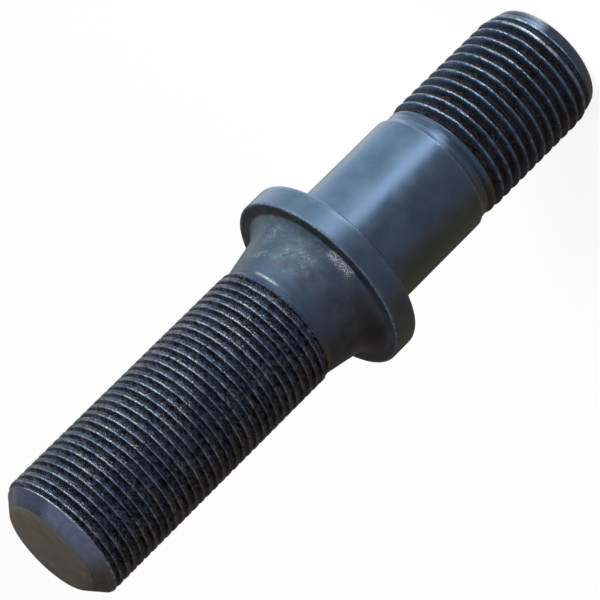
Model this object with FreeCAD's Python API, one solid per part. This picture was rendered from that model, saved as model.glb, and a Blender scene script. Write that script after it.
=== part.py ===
import FreeCAD, Part
import math
import os

# Wheel stud for a heavy hub: one steel bar, forged and turned in one piece.
# Sizes are in millimetres. The stud stands on its hub end, +Z runs along its axis
# to the wheel end, and the origin is the centre of the hub end's face.

# Threads, both right-handed and of the same nominal size: M22 x 1.5 and M22 x 2.0.
# Each is a cylinder over its crests, because the grooves are too fine for the solid.
thread_size = 22.0
# How far the rolled crests and the necks lie inside the nominal size, on the radius
wheel_crest_drop = 0.10
hub_crest_drop = 0.15
wheel_neck_drop = 0.40
hub_neck_drop = 0.50

# Hub end, from its face up to the shank. The point is a flat face, a round edge and a steep cone,
# whose angle is taken from the face.
hub_face_drop = 2.3
hub_edge_round = 1.35
hub_point_angle = 75.0
hub_thread_length = 26.2
hub_runout_length = 1.2
hub_neck_length = 1.95
shoulder_height = 0.8

# Shank that fills the hub's hole
shank_diameter = 22.0
shank_length = 21.2
seat_relief = 0.4

# Collar that seats on the hub's face
collar_diameter = 32.1
collar_thickness = 4.7
collar_hub_round = 1.0
collar_wheel_edge = 0.25
collar_land = 2.1

# Flare from the collar's land up to the wheel thread
flare_height = 3.35
cone_height = 5.6
cone_half_angle = 11.0
wheel_neck_length = 0.5

# Wheel end, with a round edge between its face and its chamfer
wheel_thread_length = 50.5
wheel_runout_length = 1.0
wheel_face_drop = 3.8
wheel_edge_round = 1.8
wheel_chamfer_angle = 43.0


class Outline:
    """Half section of a turned part, drawn point by point in radius and height."""

    def __init__(self, radius, height):
        self.edges = []
        self.here = FreeCAD.Vector(radius, 0, height)

    def line_to(self, radius, height):
        """Draws a straight edge."""
        there = FreeCAD.Vector(radius, 0, height)
        self.edges.append(Part.LineSegment(self.here, there).toShape())
        self.here = there

    def arc_to(self, radius, height, start_angle):
        """Draws an arc that leaves at start_angle, in degrees from +radius towards +height."""
        there = FreeCAD.Vector(radius, 0, height)
        chord = there - self.here
        turn = math.atan2(chord.z, chord.x) - math.radians(start_angle)
        turn = math.atan2(math.sin(turn), math.cos(turn))
        side = FreeCAD.Vector(chord.z, 0, -chord.x)
        middle = (self.here + there) * 0.5 + side * (0.5 * math.tan(0.5 * turn))
        self.edges.append(Part.Arc(self.here, middle, there).toShape())
        self.here = there

    def turned(self):
        """Closes the section along the axis and turns it into a solid."""
        base = self.edges[0].Vertexes[0].Point
        self.line_to(0, self.here.z)
        self.line_to(base.x, base.z)
        section = Part.Face(Part.Wire(self.edges))
        return section.revolve(FreeCAD.Vector(0, 0, 0), FreeCAD.Vector(0, 0, 1), 360)


def radius_inside(drop):
    """Radius that lies this far inside the nominal thread size."""
    return 0.5 * thread_size - drop


def end_edge(face, edge_round, angle):
    """Where the round edge of an end meets its cone: radius, and depth below the face."""
    turn = math.radians(angle)
    return face + edge_round * math.sin(turn), edge_round * (1 - math.cos(turn))


def cone_depth(face, edge_round, angle, crest):
    """Depth below the face at which an end's cone reaches the crests."""
    edge, depth = end_edge(face, edge_round, angle)
    return depth + (crest - edge) * math.tan(math.radians(angle))


def draw_hub_end(outline):
    """Rounded point, hub thread at its crest radius, run-out and neck, up to the shank."""
    crest = radius_inside(hub_crest_drop)
    neck = radius_inside(hub_neck_drop)
    face = radius_inside(hub_face_drop)
    neck_end = hub_thread_length + hub_neck_length
    outline.line_to(face, 0)
    outline.arc_to(*end_edge(face, hub_edge_round, hub_point_angle), 0)
    outline.line_to(crest, cone_depth(face, hub_edge_round, hub_point_angle, crest))
    outline.line_to(crest, hub_thread_length - hub_runout_length)
    outline.line_to(neck, hub_thread_length)
    outline.line_to(neck, neck_end)
    outline.line_to(0.5 * shank_diameter, neck_end + shoulder_height)


def draw_shank_and_collar(outline):
    """Plain shank, the relief under the collar, and the collar with its two broken edges."""
    shank = 0.5 * shank_diameter
    rim = 0.5 * collar_diameter
    seat = outline.here.z + shank_length
    top = seat + collar_thickness
    outline.line_to(shank, seat - seat_relief)
    outline.line_to(shank + seat_relief, seat)
    outline.line_to(rim - collar_hub_round, seat)
    outline.arc_to(rim, seat + collar_hub_round, 0)
    outline.line_to(rim, top - collar_wheel_edge)
    outline.line_to(rim - collar_wheel_edge, top)
    outline.line_to(rim - collar_land, top)


def draw_flare(outline):
    """Flare that leaves the collar's land and runs tangent into the cone, then the wheel neck."""
    neck = radius_inside(wheel_neck_drop)
    cone_foot = neck + cone_height * math.tan(math.radians(cone_half_angle))
    land = outline.here
    flare_top = land.z + flare_height
    chord_angle = math.degrees(math.atan2(flare_height, cone_foot - land.x))
    cone_angle = 90 + cone_half_angle
    outline.arc_to(cone_foot, flare_top, 2 * chord_angle - cone_angle)
    outline.line_to(neck, flare_top + cone_height)
    outline.line_to(neck, flare_top + cone_height + wheel_neck_length)


def draw_wheel_end(outline):
    """Run-out, wheel thread at its crest radius, and the chamfer and round edge at its end."""
    crest = radius_inside(wheel_crest_drop)
    face = radius_inside(wheel_face_drop)
    start = outline.here.z
    end = start + wheel_thread_length
    edge, depth = end_edge(face, wheel_edge_round, wheel_chamfer_angle)
    outline.line_to(crest, start + wheel_runout_length)
    outline.line_to(crest, end - cone_depth(face, wheel_edge_round, wheel_chamfer_angle, crest))
    outline.line_to(edge, end - depth)
    outline.arc_to(face, end, 180 - wheel_chamfer_angle)


def wheel_stud():
    """The whole stud as one turned solid."""
    outline = Outline(0, 0)
    draw_hub_end(outline)
    draw_shank_and_collar(outline)
    draw_flare(outline)
    draw_wheel_end(outline)
    return outline.turned()


os.makedirs("parts", exist_ok=True)
wheel_stud().exportStep("parts/wheel_stud.step")
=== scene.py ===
"""Dresses the wheel stud: its two rolled threads, its turned and forged skin, and its studio."""

import logging
import math
from dataclasses import dataclass, field
from enum import Enum

import bmesh
import bpy
import numpy as np
from mathutils import Matrix, Vector


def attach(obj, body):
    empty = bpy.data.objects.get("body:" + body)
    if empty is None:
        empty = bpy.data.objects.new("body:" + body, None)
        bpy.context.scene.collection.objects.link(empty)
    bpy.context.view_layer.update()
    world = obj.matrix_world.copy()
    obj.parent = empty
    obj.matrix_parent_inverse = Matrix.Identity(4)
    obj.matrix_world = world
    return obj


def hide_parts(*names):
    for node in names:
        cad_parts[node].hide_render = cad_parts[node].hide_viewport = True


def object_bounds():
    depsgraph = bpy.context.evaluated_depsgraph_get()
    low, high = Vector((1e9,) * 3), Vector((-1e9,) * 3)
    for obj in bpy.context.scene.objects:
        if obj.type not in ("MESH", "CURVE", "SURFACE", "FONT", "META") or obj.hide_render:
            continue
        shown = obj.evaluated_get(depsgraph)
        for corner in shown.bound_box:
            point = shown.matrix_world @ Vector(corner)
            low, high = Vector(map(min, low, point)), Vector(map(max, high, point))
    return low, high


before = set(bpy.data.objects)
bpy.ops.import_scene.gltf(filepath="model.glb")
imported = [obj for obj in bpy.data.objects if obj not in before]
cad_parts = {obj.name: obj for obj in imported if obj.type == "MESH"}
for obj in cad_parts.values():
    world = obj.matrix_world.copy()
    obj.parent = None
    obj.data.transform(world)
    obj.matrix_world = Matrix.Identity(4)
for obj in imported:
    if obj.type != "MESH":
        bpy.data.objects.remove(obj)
CAD_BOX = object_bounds()

LOG = logging.getLogger("wheel_stud")
MM = 0.001
STUD_NODE = "wheel_stud"

# Points closer than this are one point, in metres
MERGE_GAP = 0.002 * MM
# A ring of a smaller radius than this is a single point on the axis
POLE = 1e-9
WHITE = (1.0, 1.0, 1.0, 1.0)

Colour = tuple[float, float, float]
# The two ends of a range, mostly where a fade starts and where it is full
Fade = tuple[float, float]

FULL: Fade = (0.0, 1.0)
# Two ranges of a noise's values that several finishes fade over
WIDE: Fade = (0.3, 0.7)
NARROW: Fade = (0.35, 0.65)


class Zone(Enum):
    """Material slots of the stud, in the order of its mesh."""

    SATIN = 0
    WHEEL_THREAD = 1
    HUB_THREAD = 2
    FORGED = 3
    SAWN = 4
    # The collar's wheel-side land, in near-black painted shade
    SEAT = 5


class Mark(Enum):
    """What each point of the mesh keeps for the finishes, as an attribute of this name."""

    GROOVE = "groove"
    FACING = "facing"
    PLAIN = "plain"
    RIDGE = "ridge"
    WORN = "worn"


THREAD_MARKS = (Mark.GROOVE, Mark.FACING, Mark.PLAIN, Mark.RIDGE)


def metres(fade: Fade) -> Fade:
    """Turns a fade in millimetres into one in metres."""
    return fade[0] * MM, fade[1] * MM


@dataclass(frozen=True)
class Value:
    """What a node gives: a number that can be reckoned with, or a colour, a place or a surface."""

    sheet: "Sheet"
    socket: bpy.types.NodeSocket

    def __add__(self, other: "Input") -> "Value":
        """The sum."""
        return self.sheet.math("ADD", self, other)

    def __sub__(self, other: "Input") -> "Value":
        """The difference."""
        return self.sheet.math("SUBTRACT", self, other)

    def __rsub__(self, other: "Input") -> "Value":
        """The difference, from a plain number."""
        return self.sheet.math("SUBTRACT", other, self)

    def __mul__(self, other: "Input") -> "Value":
        """The product."""
        return self.sheet.math("MULTIPLY", self, other)

    def __truediv__(self, other: "Input") -> "Value":
        """The quotient."""
        return self.sheet.math("DIVIDE", self, other)

    def __abs__(self) -> "Value":
        """The number without its sign."""
        return self.sheet.math("ABSOLUTE", self)


Input = Value | float | int | str | bool | tuple | bpy.types.Material | None


class Sheet:
    """A node tree with short calls to add and join its nodes."""

    def __init__(self, tree: bpy.types.NodeTree) -> None:
        """Keeps the tree that the nodes go into."""
        self.tree = tree

    def put(self, socket: bpy.types.NodeSocket, value: Input) -> None:
        """Links a socket to what another node gives, or sets its value.

        Args:
            socket: the input that takes the value.
            value: what another node gives, a plain value, or None to leave the input alone.
        """
        if isinstance(value, Value):
            self.tree.links.new(value.socket, socket)
        elif value is not None:
            socket.default_value = value

    def node(self, kind: str, *values: Input, **settings: object) -> bpy.types.Node:
        """Adds one node.

        Args:
            kind: the node's type name.
            values: what goes into its inputs, in order; None leaves one as it is.
            settings: properties of the node itself.

        Returns:
            The new node.
        """
        made = self.tree.nodes.new(kind)
        for name, value in settings.items():
            setattr(made, name, value)
        for socket, value in zip([s for s in made.inputs if s.enabled], values):
            self.put(socket, value)
        return made

    def value(self, kind: str, *values: Input, output: int | str = 0, **settings: object) -> Value:
        """Adds one node and takes one of its outputs.

        Args:
            kind: the node's type name.
            values: what goes into its inputs, in order.
            output: the place or the name of the output.
            settings: properties of the node itself.

        Returns:
            What the output gives.
        """
        return Value(self, self.node(kind, *values, **settings).outputs[output])

    def math(self, operation: str, *values: Input) -> Value:
        """The result of a Math node."""
        return self.value("ShaderNodeMath", *values, operation=operation)

    def span(
        self, value: Input, ends: tuple[Input, Input], first: Input = 0.0, last: Input = 1.0,
        even: bool = False,
    ) -> Value:
        """Maps a range onto another, clamped.

        Args:
            value: the number that is mapped.
            ends: where its range starts and ends.
            first: what the start becomes.
            last: what the end becomes.
            even: whether the way between them is straight, and not eased at both ends.

        Returns:
            The mapped number.
        """
        kind = "LINEAR" if even else "SMOOTHSTEP"
        return self.value("ShaderNodeMapRange", value, *ends, first, last, interpolation_type=kind)

    def mix(self, share: Input, first: Input, second: Input, blend: str = "MIX") -> Value:
        """Mixes two colours.

        Args:
            share: how much of the second colour, from 0 to 1.
            first: the first colour.
            second: the second colour.
            blend: how they are mixed.

        Returns:
            The mixed colour.
        """
        made = self.tree.nodes.new("ShaderNodeMix")
        made.data_type = "RGBA"
        made.blend_type = blend
        self.put(made.inputs[0], share)
        self.put(made.inputs[6], (*first, 1.0) if isinstance(first, tuple) else first)
        self.put(made.inputs[7], (*second, 1.0) if isinstance(second, tuple) else second)
        return Value(self, made.outputs[2])

    def scaled(self, colour: Input, factor: Input) -> Value:
        """A colour times a number or another colour."""
        return self.mix(1.0, colour, factor, "MULTIPLY")

    def noise(self, place: Input, scale: float, detail: float = 2.0) -> Value:
        """Adds a Noise Texture.

        Args:
            place: where it is read.
            scale: its scale, per metre.
            detail: its detail.

        Returns:
            Its value, from 0 to 1.
        """
        made = self.tree.nodes.new("ShaderNodeTexNoise")
        for name, value in (("Vector", place), ("Scale", scale), ("Detail", detail)):
            self.put(made.inputs[name], value)
        return Value(self, made.outputs[0])

    def bump(self, strength: Input, depth: float, height: Input) -> Value:
        """A normal that a height pushes in and out, by a depth in metres."""
        return self.value("ShaderNodeBump", strength, depth, None, height)

    def parts(self, place: Input) -> list[Value]:
        """The three parts of a place."""
        return [Value(self, part) for part in self.node("ShaderNodeSeparateXYZ", place).outputs]

    def ring(self, angle: Value, height: Input) -> Value:
        """A place on a circle of radius 1, so that a pattern read there closes round the stud."""
        east, north = self.math("COSINE", angle), self.math("SINE", angle)
        return self.value("ShaderNodeCombineXYZ", east, north, height)

    def mark(self, mark: Mark) -> Value:
        """Reads one of the marks of the mesh."""
        return self.value("ShaderNodeAttribute", output="Fac", attribute_name=mark.value)

    def flat(self, place: Value) -> Value:
        """The place without its height."""
        return self.value("ShaderNodeVectorMath", place, (1.0, 1.0, 0.0), operation="MULTIPLY")

    def length(self, place: Value) -> Value:
        """How far a place is from the origin."""
        return self.value("ShaderNodeVectorMath", place, output="Value", operation="LENGTH")

    def stretched(self, place: Value, scale: tuple[float, float, float]) -> Value:
        """The place, scaled by a number for each axis."""
        return self.value("ShaderNodeMapping", place, None, None, scale)


def blank_material(name: str) -> tuple[bpy.types.Material, Sheet]:
    """Makes a material with no nodes.

    Args:
        name: its name.

    Returns:
        The material, and the sheet for its nodes.
    """
    made = bpy.data.materials.new(name)
    made.use_nodes = True
    made.node_tree.nodes.clear()
    return made, Sheet(made.node_tree)


def in_scene(name: str, data: bpy.types.ID) -> bpy.types.Object:
    """Makes an object and links it to the scene.

    Args:
        name: its name.
        data: its mesh, lamp or camera.

    Returns:
        The object.
    """
    made = bpy.data.objects.new(name, data)
    bpy.context.scene.collection.objects.link(made)
    return made


@dataclass(frozen=True)
class Side:
    """One side of the stud, seen along its axis.

    The turn is in degrees from -Y towards +X, and the fade in cosines of the angle away from it.
    """

    turn: float
    fade: Fade

    def share(self, sheet: Sheet, place: Value) -> Value:
        """Works out how much a point lies on this side.

        Args:
            sheet: the material's tree.
            place: the point on the stud.

        Returns:
            The share, from 0 to 1.
        """
        way = sheet.value("ShaderNodeVectorMath", sheet.flat(place), operation="NORMALIZE")
        turn = math.radians(self.turn)
        facing = (math.sin(turn), -math.cos(turn), 0.0)
        along = sheet.value("ShaderNodeVectorMath", way, facing, output="Value", operation="DOT_PRODUCT")
        return sheet.span(along, self.fade)


@dataclass(frozen=True)
class Skin:
    """A stretch of surface: its points and faces, the marks of its points, and a zone per face."""

    points: np.ndarray
    faces: list[tuple[int, ...]]
    marks: dict[Mark, np.ndarray]
    zones: list[int]


@dataclass(frozen=True)
class TurnedEnd:
    """End of the bar: a flat face, a round edge and a cone. Lengths are in millimetres.

    The cone's angle, in degrees, is taken from the face.
    """

    face_radius: float
    edge_round: float
    angle: float

    def edge_radius(self) -> float:
        """Radius where the round edge meets the cone."""
        return self.face_radius + self.edge_round * math.sin(math.radians(self.angle))

    def edge_depth(self) -> float:
        """How far below the face the round edge meets the cone."""
        return self.edge_round * (1.0 - math.cos(math.radians(self.angle)))

    def rise(self) -> float:
        """Radius that the cone gains for each millimetre away from the face."""
        return 1.0 / math.tan(math.radians(self.angle))


@dataclass(frozen=True)
class RolledThread:
    """One right-handed rolled thread. Lengths are in millimetres, and shares are of the pitch.

    The surface is a grid that is rolled up along the helix: its columns go round the stud, and each
    row climbs by one pitch in a turn, so the seam of one turn meets the next turn. It runs from the
    neck, where the grooves fade out, to the round edge of the end. Neck lengths start at the neck.
    Scales are for noise on a circle of radius 1, and stretches are for its height in metres.
    """

    name: str
    zone: Zone
    pitch: float
    crest_radius: float
    depth: float
    foot: float
    head: float
    crest_height: float
    end: TurnedEnd
    end_fade: float
    neck_at_head: bool
    neck_radius: float
    neck_length: float
    taper_end: float
    groove_start: float
    groove_end: float
    crest_share: float
    root_share: float
    roundness: float
    ridge_width: float = 0.55
    ridge_sinks: Fade = (0.5, 0.8)
    ridge_thinning: float = 20.0
    plain_drop: float = 0.25
    wobble: float = 0.16
    wobble_scale: float = 3.0
    wobble_stretch: float = 150.0
    nick_depth: float = 0.06
    nick_scale: float = 14.0
    nick_stretch: float = 120.0
    nick_fade: Fade = (0.52, 0.72)
    row_crowding: float = 1.5
    columns: int = 128
    rows_per_turn: int = 12

    def base(self) -> float:
        """Height of the first root, at least a turn below the foot."""
        climb = (self.foot - self.crest_height + 0.5 * self.pitch) % self.pitch
        return self.foot - climb - self.pitch

    def turns(self) -> int:
        """Turns that cover the thread from its first root past its head."""
        return math.ceil((self.head - self.base()) / self.pitch)

    def inputs(self) -> dict[str, float | int]:
        """Lists what the tree is given.

        Returns:
            The values of its named inputs, with lengths in metres.
        """
        lengths = {
            "Pitch": self.pitch,
            "Crest Radius": self.crest_radius,
            "Thread Depth": self.depth,
            "Foot Height": self.foot,
            "Head Height": self.head,
            "First Root Height": self.base(),
            "Edge Radius": self.end.edge_radius(),
            "End Fade": self.end_fade,
            "Neck Drop": self.crest_radius - self.neck_radius,
            "Neck Length": self.neck_length,
            "Taper End": self.taper_end,
            "Groove Start": self.groove_start,
            "Groove End": self.groove_end,
            "Nick Depth": self.nick_depth,
            "Plain Drop": self.plain_drop,
            "Wobble": self.wobble,
            "Ridge Width": self.ridge_width,
            "Ridge Sinks From": self.ridge_sinks[0],
            "Ridge Sinks To": self.ridge_sinks[1],
        }
        plain = {
            "End Rise": self.end.rise(),
            "Crest Share": self.crest_share,
            "Root Share": self.root_share,
            "Roundness": self.roundness,
            "Row Crowding": self.row_crowding,
            "Ridge Thinning": self.ridge_thinning,
            "Turns": self.turns(),
            "Columns": self.columns + 1,
            "Rows": self.turns() * self.rows_per_turn + 1,
        }
        return {name: size * MM for name, size in lengths.items()} | plain

    def tree(self, material: bpy.types.Material) -> bpy.types.GeometryNodeTree:
        """Builds the tree that makes the thread's surface.

        Args:
            material: what the surface is dressed with.

        Returns:
            The tree, with one named input for each size.
        """
        tree = bpy.data.node_groups.new(f"{self.name}_tree", "GeometryNodeTree")
        tree.interface.new_socket("Geometry", in_out="OUTPUT", socket_type="NodeSocketGeometry")
        for name, size in self.inputs().items():
            kind = "NodeSocketInt" if isinstance(size, int) else "NodeSocketFloat"
            tree.interface.new_socket(name, in_out="INPUT", socket_type=kind)
        sheet = Sheet(tree)
        given = {socket.name: Value(sheet, socket) for socket in sheet.node("NodeGroupInput").outputs}
        across, along, _ = sheet.parts(sheet.value("GeometryNodeInputPosition"))
        around = across + 0.5
        row = (along + 0.5) * given["Turns"]
        angle = around * math.tau
        from_crest = self.from_crest(sheet, given, row)
        turn = sheet.math("FLOOR", row) + 0.5 + from_crest
        free = given["First Root Height"] + (turn + around) * given["Pitch"]
        free = free + self.stray(sheet, given, free, angle)
        height = sheet.math("MINIMUM", free, given["Head Height"])
        height = sheet.math("MAXIMUM", height, given["Foot Height"])
        over_crests, radius, ridge = self.radii(sheet, given, from_crest, height, angle)
        below_crests = given["Crest Radius"] - over_crests
        marks = {
            Mark.GROOVE: (over_crests - radius) / given["Thread Depth"],
            Mark.FACING: sheet.math("SINE", from_crest * math.tau),
            Mark.PLAIN: sheet.math("MINIMUM", below_crests / given["Plain Drop"], 1.0),
            Mark.RIDGE: ridge,
        }
        east = radius * sheet.math("COSINE", angle)
        north = radius * sheet.math("SINE", angle)
        surface = sheet.value("GeometryNodeMeshGrid", 1.0, 1.0, given["Columns"], given["Rows"])
        for mark, number in marks.items():
            surface = sheet.value(
                "GeometryNodeStoreNamedAttribute", surface, None, mark.value, number,
                data_type="FLOAT", domain="POINT",
            )
        place = sheet.value("ShaderNodeCombineXYZ", east, north, height)
        surface = sheet.value("GeometryNodeSetPosition", surface, None, place)
        surface = sheet.value("GeometryNodeMergeByDistance", surface, None, MERGE_GAP)
        surface = sheet.value("GeometryNodeSetShadeSmooth", surface)
        surface = sheet.value("GeometryNodeRealizeInstances", surface)
        surface = sheet.value("GeometryNodeSetMaterial", surface, None, material)
        sheet.node("NodeGroupOutput", surface)
        return tree

    def from_crest(self, sheet: Sheet, given: dict[str, Value], row: Value) -> Value:
        """Places a row within its turn, with the rows crowded towards the crest.

        Args:
            sheet: the tree.
            given: the tree's inputs.
            row: the grid's row, in turns.

        Returns:
            Height above the crest as a share of the pitch, from -0.5 to 0.5.
        """
        even = sheet.math("FRACT", row) - 0.5
        crowded = sheet.math("POWER", abs(even) * 2.0, given["Row Crowding"]) * 0.5
        return crowded * sheet.math("SIGN", even)

    def stray(self, sheet: Sheet, given: dict[str, Value], height: Value, angle: Value) -> Value:
        """Works out how far the helix strays up or down.

        Args:
            sheet: the tree.
            given: the tree's inputs.
            height: height of the point.
            angle: angle of the point.

        Returns:
            The rise, a little to either side of none.
        """
        ring = sheet.ring(angle, height * self.wobble_stretch)
        return (sheet.noise(ring, self.wobble_scale) - 0.5) * given["Wobble"]

    def section(self, sheet: Sheet, given: dict[str, Value], from_crest: Value) -> Value:
        """Works out the thread's section: straight flanks, eased at the crest and the root.

        Args:
            sheet: the tree.
            given: the tree's inputs.
            from_crest: height above the crest, as a share of the pitch.

        Returns:
            0 on the crest, 1 at the root.
        """
        away = abs(from_crest)
        flank = (given["Crest Share"], 0.5 - given["Root Share"])
        straight = sheet.span(away, flank, even=True)
        return straight + (sheet.span(away, flank) - straight) * given["Roundness"]

    def nicks(
        self, sheet: Sheet, given: dict[str, Value], section: Value, height: Value, angle: Value
    ) -> Value:
        """Works out how deep the small nicks of the crest are.

        Args:
            sheet: the tree.
            given: the tree's inputs.
            section: 0 on the crest, 1 at the root.
            height: height of the point.
            angle: angle of the point.

        Returns:
            The depth, which fades out down the flanks.
        """
        ring = sheet.ring(angle, height * self.nick_stretch)
        nicks = sheet.span(sheet.noise(ring, self.nick_scale, 3.0), self.nick_fade)
        return nicks * (1.0 - section) * given["Nick Depth"]

    def radii(
        self, sheet: Sheet, given: dict[str, Value], from_crest: Value, height: Value, angle: Value
    ) -> tuple[Value, Value, Value]:
        """Works out the bar's radius and the threaded surface's radius.

        Args:
            sheet: the tree.
            given: the tree's inputs.
            from_crest: height above the crest, as a share of the pitch.
            height: height of the point.
            angle: angle of the point.

        Returns:
            The radius over the crests, the neck and the end's cone, the radius with the grooves cut,
            and how far a point is from the ridge between the cone and the first groove, which is at 0.
        """
        above_foot = height - given["Foot Height"]
        below_head = given["Head Height"] - height
        from_neck, from_end = (below_head, above_foot) if self.neck_at_head else (above_foot, below_head)
        taper = sheet.span(
            from_neck, (given["Neck Length"], given["Taper End"]), given["Neck Drop"], 0.0, even=True
        )
        grooves = sheet.span(from_neck, (given["Groove Start"], given["Groove End"]))
        section = self.section(sheet, given, from_crest)
        deep = given["Thread Depth"] * section
        cut = (deep + self.nicks(sheet, given, section, height, angle)) * grooves
        over_crests = given["Crest Radius"] - taper
        cone = given["Edge Radius"] + from_end * given["End Rise"]
        into_cone = cone - (over_crests - cut)
        fade = sheet.span(from_end, (0.0, given["End Fade"]))
        radius = cone - sheet.math("MAXIMUM", into_cone, 0.0) * fade
        sinks = (given["Ridge Sinks From"], given["Ridge Sinks To"])
        thinning = sheet.span(given["Crest Radius"] - cone, sinks, 1.0, given["Ridge Thinning"], even=True)
        ridge = into_cone / given["Ridge Width"] * thinning
        return sheet.math("MINIMUM", cone, over_crests), radius, ridge

    def skin(self, material: bpy.types.Material) -> Skin:
        """Runs the tree on a carrier and reads the surface back as plain arrays.

        Args:
            material: what the surface is dressed with.

        Returns:
            The thread's surface.
        """
        carrier = in_scene(self.name, bpy.data.meshes.new(self.name))
        tree = self.tree(material)
        modifier = carrier.modifiers.new("thread", "NODES")
        modifier.node_group = tree
        sockets = {item.name: item.identifier for item in tree.interface.items_tree if item.in_out == "INPUT"}
        for name, size in self.inputs().items():
            modifier[sockets[name]] = size
        graph = bpy.context.evaluated_depsgraph_get()
        mesh = bpy.data.meshes.new_from_object(carrier.evaluated_get(graph))
        carrier.modifiers.remove(modifier)
        bpy.data.objects.remove(carrier)
        points = np.empty(3 * len(mesh.vertices))
        mesh.vertices.foreach_get("co", points)
        marks: dict[Mark, np.ndarray] = {}
        for mark in THREAD_MARKS:
            marks[mark] = np.empty(len(mesh.vertices))
            mesh.attributes[mark.value].data.foreach_get("value", marks[mark])
        faces = [tuple(face.vertices) for face in mesh.polygons]
        return Skin(points.reshape(-1, 3), faces, marks, [self.zone.value] * len(faces))


@dataclass
class Profile:
    """Half section of a turned stretch, as radius and height in millimetres, with a zone per step."""

    radius: float
    height: float
    columns: int = 128
    rings: list[tuple[float, float]] = field(default_factory=list)
    worn: list[float] = field(default_factory=list)
    steps: list[Zone] = field(default_factory=list)

    def __post_init__(self) -> None:
        """Starts the section with its first ring."""
        self.rings.append((self.radius, self.height))
        self.worn.append(0.0)

    def add(self, radius: float, height: float, zone: Zone, worn: float) -> None:
        """Adds one ring, and the step that leads to it.

        Args:
            radius: the ring's radius.
            height: the ring's height.
            zone: the step's finish.
            worn: how much the ring is rubbed bright, from 0 to 1.
        """
        self.rings.append((radius, height))
        self.worn.append(worn)
        self.steps.append(zone)

    def line(
        self, radius: float, height: float, zone: Zone = Zone.SATIN, steps: int = 1, worn: float = 0.0
    ) -> "Profile":
        """Adds a straight stretch.

        Args:
            radius: where it ends.
            height: where it ends.
            zone: its finish.
            steps: how many rings it takes.
            worn: how much its rings are rubbed bright, from 0 to 1.

        Returns:
            The profile, for the next call.
        """
        from_radius, from_height = self.rings[-1]
        for step in range(1, steps + 1):
            share = step / steps
            self.add(
                from_radius + (radius - from_radius) * share,
                from_height + (height - from_height) * share, zone, worn,
            )
        return self

    def arc(
        self, radius: float, height: float, start: float, zone: Zone = Zone.SATIN, steps: int = 5,
        worn: float = 0.0,
    ) -> "Profile":
        """Adds an arc that leaves at a given angle.

        Args:
            radius: where it ends.
            height: where it ends.
            start: the angle it leaves at, in degrees from +radius towards +height.
            zone: its finish.
            steps: how many rings it takes.
            worn: how much its rings are rubbed bright, from 0 to 1.

        Returns:
            The profile, for the next call.
        """
        from_radius, from_height = self.rings[-1]
        heading = math.radians(start)
        turn = math.atan2(height - from_height, radius - from_radius) - heading
        turn = math.atan2(math.sin(turn), math.cos(turn))
        bend = math.dist((radius, height), (from_radius, from_height)) / (2 * math.sin(turn))
        for step in range(1, steps + 1):
            swept = 2 * turn * step / steps
            along = bend * math.sin(swept)
            aside = bend * (1 - math.cos(swept))
            self.add(
                from_radius + along * math.cos(heading) - aside * math.sin(heading),
                from_height + along * math.sin(heading) + aside * math.cos(heading), zone, worn,
            )
        return self

    def skin(self) -> Skin:
        """Turns the section about the axis.

        Returns:
            The surface, facing outwards when the section runs upwards.
        """
        points: list[tuple[float, float, float]] = []
        worn: list[float] = []
        starts: list[int] = []
        for (radius, height), wear in zip(self.rings, self.worn):
            starts.append(len(points))
            for column in range(1 if radius < POLE else self.columns):
                angle = math.tau * column / self.columns
                points.append((radius * math.cos(angle), radius * math.sin(angle), height))
                worn.append(wear)
        faces: list[tuple[int, ...]] = []
        for index in range(len(self.steps)):
            low, high = starts[index], starts[index + 1]
            for column in range(self.columns):
                after = (column + 1) % self.columns
                if self.rings[index][0] < POLE:
                    faces.append((low, high + after, high + column))
                elif self.rings[index + 1][0] < POLE:
                    faces.append((low + column, low + after, high))
                else:
                    faces.append((low + column, low + after, high + after, high + column))
        zones = [zone.value for zone in self.steps for _ in range(self.columns)]
        return Skin(np.array(points) * MM, faces, {Mark.WORN: np.array(worn)}, zones)


@dataclass(frozen=True)
class Look:
    """What a finish hands to the steel shader."""

    colour: Value
    rough: Value
    normal: Value


@dataclass(frozen=True)
class Finish:
    """What every finish of the stud shares: a material of its own that ends in the steel shader.

    Lengths, such as heights on the stud, are in millimetres, and the scales of noise are per metre.
    """

    name: str
    metallic: float = 1.0

    def material(self) -> bpy.types.Material:
        """Builds the material.

        Returns:
            The material.
        """
        made, sheet = blank_material(self.name)
        look = self.look(sheet, sheet.value("ShaderNodeTexCoord", output="Object"))
        shader = sheet.node("ShaderNodeBsdfPrincipled")
        shader.inputs["Metallic"].default_value = self.metallic
        for name, value in (("Base Color", look.colour), ("Roughness", look.rough), ("Normal", look.normal)):
            sheet.put(shader.inputs[name], value)
        sheet.node("ShaderNodeOutputMaterial", Value(sheet, shader.outputs[0]))
        return made

    def look(self, sheet: Sheet, place: Value) -> Look:
        """Builds the nodes of the finish.

        Args:
            sheet: the material's tree.
            place: the point on the stud, in metres.

        Returns:
            Its colour, roughness and normal.
        """
        raise NotImplementedError


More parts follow.
